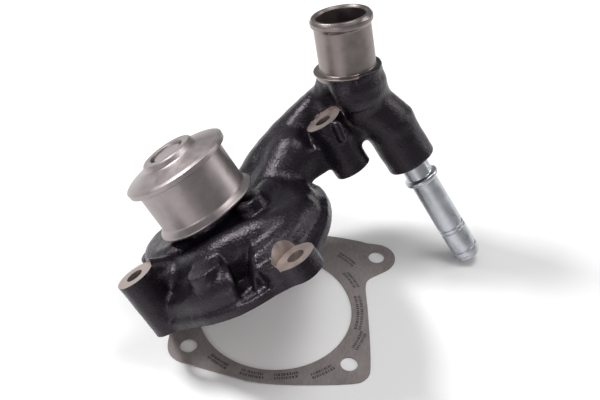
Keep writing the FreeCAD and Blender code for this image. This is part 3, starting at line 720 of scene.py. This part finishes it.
def box_tool(low, high, slot):
    bm = bmesh.new()
    bmesh.ops.create_cube(bm, size=1.0)
    for face in bm.faces:
        face.material_index = slot
    size = [b - a for a, b in zip(low, high)]
    middle = [(a + b) / 2 for a, b in zip(low, high)]
    bmesh.ops.scale(bm, vec=size, verts=bm.verts)
    bmesh.ops.translate(bm, vec=middle, verts=bm.verts)
    return closed_mesh("box", bm)


def casting_tools():
    """Everything that is cut from the casting: faces, bores, bolt holes and coolant ways."""
    tools = [box_tool((-70, -90, -6), (89.5, 75, 0), BARE)]
    tools.append(lathe("hollow", [
        (0, -3), (38, -3), (38, 13), (21.5, 13), (21.5, 9), (17.4, 9), (17.4, 17.6),
        (13.9, 17.6), (13.9, 22), (15, 22), (15, 60), (0, 60)], 128, BARE))
    tools.append(lathe("tower_top", [(14, 54), (24, 54), (24, 60), (14, 60)], 96, BARE))
    for x, y, top in (BOSS_A, BOSS_B, BOSS_C, BOSS_D):
        tools.append(round_tool((x, y, -8), BOLT_HOLE, top + 16, BARE, segments=48))
    for face, radius, reach in ((BOSS_A, 10.2, 20.0), (BOSS_B, 11.0, 30.0),
                                (BOSS_C, 10.5, 20.0), (BOSS_D, 10.3, 2.0)):
        tools.append(round_tool(face, radius, reach, BARE, segments=96))
    weep = WEEP_END - WEEP_START
    tools.append(round_tool(WEEP_START, WEEP_HOLE, weep.length + 4, ROUGH, weep))
    neck_low = NECK_FOOT - NECK_AXIS * 9.0
    tools.append(round_tool(neck_low, NECK_BORE, 50.0, BARE, NECK_AXIS, 96))
    for start, end in zip(COOLANT_COURSE, COOLANT_COURSE[1:]):
        run = Vector(end) - Vector(start)
        tools.append(round_tool(start, COOLANT_WAY, run.length + 3, ROUGH, run, 48))
    tools.append(round_tool((*TUBE_AXIS, ELBOW_LOW - 4), TUBE_OUTSIDE, 18.0, BARE))
    tools.append(round_tool((*TUBE_AXIS, -4), TUBE_BORE, 30.0, ROUGH))
    return tools


def make_casting(paint, bare, rough):
    mesh = cut_away(cast_mesh(), casting_tools())
    smooth_by_angle(mesh, 38.0)
    casting = add_object("pump_casting", to_metres(mesh), PUMP, [paint, bare, rough])
    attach(casting, "pump_casing")
    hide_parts("housing")


def make_neck(metal):
    """The turned hose neck: a foot ring, the tube and its rounded stop bead."""
    top, ring_top, ring_root = NECK_LENGTH, 0.75, 15.3
    profile = rounded([
        (NECK_BORE, -3.0, 0), (17.0, -3.0, 0), (17.0, -0.3, 0), (18.4, -0.3, 0.2),
        (18.4, 0.4, 0.3), (15.0, 0.7, 0.4), (15.0, top - 5.6, 1.0), (15.5, top - 5.0, 0.5),
        (16.4, top - 3.9, 1.2), (16.4, top - 1.7, 1.2), (15.2, top, 0.6), (13.8, top, 0.4),
        (NECK_BORE, top - 1.2, 0.3),
    ])
    mesh = lathe("neck", profile, 160)
    # The foot ring stops where the painted cheek rises.
    right = upright((0, 0, 0), NECK_AXIS).to_3x3().inverted() @ NECK_RIGHT
    for vertex in mesh.vertices:
        flat = Vector((vertex.co.x, vertex.co.y, 0.0))
        if (vertex.co.z < ring_top and flat.length > ring_root - 0.1
                and flat.dot(right) > CHEEK_START):
            flat *= ring_root / flat.length
            vertex.co.x, vertex.co.y = flat.x, flat.y
    smooth_by_angle(mesh)
    neck = add_object("hose_neck", to_metres(mesh), NECK_PLACE, [metal])
    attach(neck, "pump_casing")


# ---------------------------------------------------------------- pulley, tube and gasket

def make_pulley(steel):
    """The turned pulley: hub, web, belt face and its two rims, as one profile."""
    profile = rounded([
        (7.96, 58.4, 0), (12.7, 58.4, 0), (12.7, 61.0, 2.0), (22.5, 58.4, 1.5), (22.5, 34.6, 1.0),
        (25.0, 32.0, 1.0), (27.1, 31.2, 0.3), (27.6, 32.3, 0.9), (26.3, 33.6, 0.7),
        (24.7, 35.4, 2.2), (24.7, 58.2, 0.5), (28.4, 58.3, 0.4), (28.6, 61.0, 0.5),
        (26.6, 61.9, 1.2), (15.4, 65.0, 1.4), (14.3, 67.2, 0.6), (13.6, 68.0, 0.5),
        (9.5, 68.0, 0.4), (9.0, 64.8, 0.3), (7.96, 64.8, 0),
    ])
    mesh = lathe("pulley", profile, 192)
    smooth_by_angle(mesh)
    pulley = add_object("belt_pulley", to_metres(mesh), PUMP, [steel])
    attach(pulley, "rotor")
    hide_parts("pulley")


def make_tube(metal):
    """The bright tube: a stepped end, three grooves and a rolled stop bead."""
    top, low, bead = -3.0, -85.0, -28.4
    bore, wide, step, rolled = TUBE_BORE, TUBE_OUTSIDE, 7.0, 9.7
    in_groove = wide - 0.5
    profile = [
        (bore, low, 0), (6.6, low, 0.2), (step, low + 0.6, 0.3), (step, low + 2.0, 0.3),
        (wide, low + 2.8, 0.3),
    ]
    for groove in (low + 5.6, -65.6, -63.2):
        profile += [(wide, groove, 0.15), (in_groove, groove + 0.3, 0.15),
                    (in_groove, groove + 1.1, 0.15), (wide, groove + 1.4, 0.15)]
    profile += [
        (wide, bead - 2.0, 0.8), (rolled, bead - 1.0, 0.9), (rolled, bead + 1.0, 0.9),
        (wide, bead + 2.0, 0.8), (wide, top, 0), (bore, top, 0),
    ]
    mesh = lathe("tube", rounded(profile), 128)
    smooth_by_angle(mesh)
    tube = add_object("coolant_tube", to_metres(mesh), TUBE_PLACE, [metal])
    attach(tube, "pump_casing")
    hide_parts("bypass_tube")


GASKET_BORE = 41.3
GASKET_THICKNESS = 0.8
GASKET_HOLE = 4.5
GASKET_LOBE = 10.8
GASKET_HOLES = [(-44.6, -26.2), (38.5, -36.9), (57.3, 41.0)]
GASKET_CORNERS = [
    (-56.2, -22.0), (-48.3, -36.5), (-25.5, -44.2), (-6.0, -50.6), (40.9, -49.8), (47.4, -46.3),
    (49.8, -40.0), (50.3, -1.0), (49.5, 19.5), (52.4, 24.5), (58.9, 28.3), (65.4, 34.5),
    (59.9, 51.3), (30.9, 59.0), (8.0, 60.5), (-16.0, 56.5), (-38.0, 44.0), (-52.0, 24.0),
    (-56.2, 6.0),
]


def gasket_middle():
    """The middle of the sheet's bore, from the box of the CAD sheet."""
    low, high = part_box("gasket")
    corners = np.array(GASKET_CORNERS)
    right = max(corners[:, 0].max(), GASKET_HOLES[2][0] + GASKET_LOBE)
    back = corners[:, 1].max()
    return Vector((high.x - right * MM, high.y - back * MM, low.z))


def gasket_reach(angles, outline):
    """How far the sheet goes from the middle of its bore at each angle, by halving."""
    inside, outside = np.full(len(angles), GASKET_BORE), np.full(len(angles), 90.0)
    for _ in range(24):
        middle = (inside + outside) / 2
        x, y = middle * np.cos(angles), middle * np.sin(angles)
        sheet = polygon(outline, x, y)
        for hole_x, hole_y in (GASKET_HOLES[0], GASKET_HOLES[2]):
            sheet = join(sheet, np.hypot(x - hole_x, y - hole_y) - GASKET_LOBE, 3.0)
        inside = np.where(sheet < 0, middle, inside)
        outside = np.where(sheet < 0, outside, middle)
    return inside.tolist()


def make_gasket(fibre, ink):
    """The flat sheet, with its edges just broken, and the print on it."""
    outline = softened(GASKET_CORNERS, rounds=2)
    count = 720
    edge = 0.12
    levels = [(0.0, edge), (edge, 0.0), (GASKET_THICKNESS - edge, 0.0), (GASKET_THICKNESS, edge)]
    bm = bmesh.new()
    loops = []
    reach = gasket_reach(2 * np.pi * np.arange(count) / count, outline)
    for height, inset in levels:
        loops.append(ring(bm, [radius - inset for radius in reach], height))
    for height, inset in reversed(levels):
        loops.append(ring(bm, [GASKET_BORE + inset] * count, height))
    for lower, upper in zip(loops, loops[1:] + loops[:1]):
        for i in range(count):
            k = (i + 1) % count
            bm.faces.new((lower[i], lower[k], upper[k], upper[i]))
    holes = [round_tool((x, y, -1), GASKET_HOLE, 3.0, 0) for x, y in GASKET_HOLES]
    mesh = cut_away(closed_mesh("gasket", bm), holes)
    smooth_by_angle(mesh)
    middle = Matrix.Translation(gasket_middle())
    sheet = add_object("gasket_sheet_piece", to_metres(mesh), middle, [fibre])
    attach(sheet, "gasket_sheet")
    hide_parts("gasket")
    print_marks(middle, ink)


# Where the sheet carries print: (angle in degrees, radius) of each group of plain bars.
PRINT_PLACES = [(28.0, 48.0), (44.0, 56.0), (6.0, 45.8), (-10.0, 45.8), (-26.0, 49.5),
                (-60.0, 49.0), (-82.0, 45.6), (-104.0, 45.6), (-128.0, 46.4), (168.0, 48.0),
                (150.0, 48.5), (88.0, 50.0)]
PRINT_HALF_LENGTH = 6.0
PRINT_ROWS = (-1.1, 1.1)
BAR_HALF_HEIGHT = 0.75
INK_DEPTH = 0.02


def print_marks(middle, ink):
    """Groups of short plain bars in ink, in place of any lettering."""
    rng = np.random.default_rng(11)
    bm = bmesh.new()
    for angle, radius in PRINT_PLACES:
        for row in PRINT_ROWS:
            along = -PRINT_HALF_LENGTH
            while along < PRINT_HALF_LENGTH:
                width = float(rng.uniform(0.35, 1.1))
                turn = math.radians(angle) + along / radius
                inner, outer = radius + row - BAR_HALF_HEIGHT, radius + row + BAR_HALF_HEIGHT
                wide = width / radius
                corners = [(inner, turn), (outer, turn), (outer, turn + wide),
                           (inner, turn + wide)]
                low, high = ([bm.verts.new((r * math.cos(a), r * math.sin(a), z))
                              for r, a in corners]
                             for z in (GASKET_THICKNESS - INK_DEPTH,
                                       GASKET_THICKNESS + INK_DEPTH))
                bm.faces.new(low[::-1])
                bm.faces.new(high)
                for i in range(4):
                    k = (i + 1) % 4
                    bm.faces.new((low[i], low[k], high[k], high[i]))
                along += width + float(rng.uniform(0.3, 0.7))
    marks = add_object("gasket_print", to_metres(closed_mesh("print", bm)), middle, [ink])
    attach(marks, "gasket_sheet")


# ---------------------------------------------------------------- pieces kept from the CAD

def finish_cad_nodes():
    """Procedural finishes for the CAD pieces that are shown as they are."""
    bearing = plain_metal("bearing_steel_ground", (0.56, 0.55, 0.54), 0.16, 0.28)
    polymer = plain_matter("cage_polymer_brown", (0.12, 0.07, 0.04), 0.4, 0.55)
    rubber = plain_matter("seal_rubber_black", (0.018, 0.018, 0.019), 0.5, 0.7)
    sheet = plain_metal("seal_sheet_stamped", (0.55, 0.52, 0.45), 0.25, 0.4)
    spring = plain_metal("spring_wire_steel", (0.5, 0.5, 0.5), 0.2, 0.3)
    carbon = plain_matter("carbon_black", (0.02, 0.02, 0.022), 0.3, 0.45)
    ceramic = plain_matter("seal_ceramic_white", (0.72, 0.70, 0.64), 0.2, 0.32)
    brass = plain_metal("sleeve_brass_drawn", (0.62, 0.46, 0.22), 0.25, 0.38)
    iron = plain_metal("impeller_cast", (0.26, 0.24, 0.23), 0.45, 0.65, 700.0, 0.8, 0.6)
    finishes = {
        "bearing_shaft": machined_iron("shaft_ground", (0.38, 0.34, 0.33), PUMP, 1.0,
                                       0.28, 0.40),
        "bearing_outer_ring": bearing, "bearing_balls": bearing, "ball_cage": polymer,
        "bearing_rollers": bearing, "roller_cage": polymer, "bearing_seal_front": rubber,
        "bearing_seal_rear": rubber, "slinger": sheet, "seal_case": sheet,
        "seal_carbon_ring": carbon, "seal_bellows": rubber, "spring_cup": sheet,
        "seal_sleeve": brass, "seat_boot": rubber, "seal_seat": ceramic,
        "seal_spring": spring, "impeller": iron,
    }
    for name, material in finishes.items():
        node = frame["nodes"][name]
        for slot in node.material_slots:
            slot.material = material


def make_floor():
    """Plain pale paper under the pump."""
    n = Nodes("floor_paper")
    place = n.place()
    colour = n.ramp(n.noise(place, 8.0), [(0.3, (0.86, 0.86, 0.86)), (0.7, (0.9, 0.9, 0.9))])
    normal = n.bump(n.noise(place, 400.0), 0.03, 0.0001)
    material = n.finish(colour, n.span(n.noise(place, 8.0), 0.75, 0.85), normal)
    bm = bmesh.new()
    bmesh.ops.create_grid(bm, x_segments=2, y_segments=2, size=4.0)
    mesh = bpy.data.meshes.new("floor")
    bm.to_mesh(mesh)
    bm.free()
    floor = add_object("floor", mesh, Matrix.Translation((0, 0, cad_low[2])), [material])


make_camera()
make_studio()
make_floor()
make_casting(
    painted_casting(),
    machined_iron("bare_casting", (0.42, 0.35, 0.325), PUMP @ Matrix.Translation(
        Vector(BOSS_B) * MM)),
    plain_matter("cast_bore", (0.012, 0.011, 0.011), 0.5, 0.7, 600.0, 0.6))
make_neck(machined_iron("neck_turned", (0.26, 0.225, 0.215), NECK_PLACE, 0.95, 0.28, 0.40))
make_pulley(machined_iron("pulley_turned", (0.38, 0.335, 0.335), PUMP, 0.95, 0.36, 0.48))
make_tube(machined_iron("tube_plated", (0.56, 0.58, 0.62), TUBE_PLACE, 1.0, 0.24, 0.38))
make_gasket(gasket_fibre(), plain_matter("print_ink", (0.055, 0.048, 0.048), 0.6, 0.75))
finish_cad_nodes()
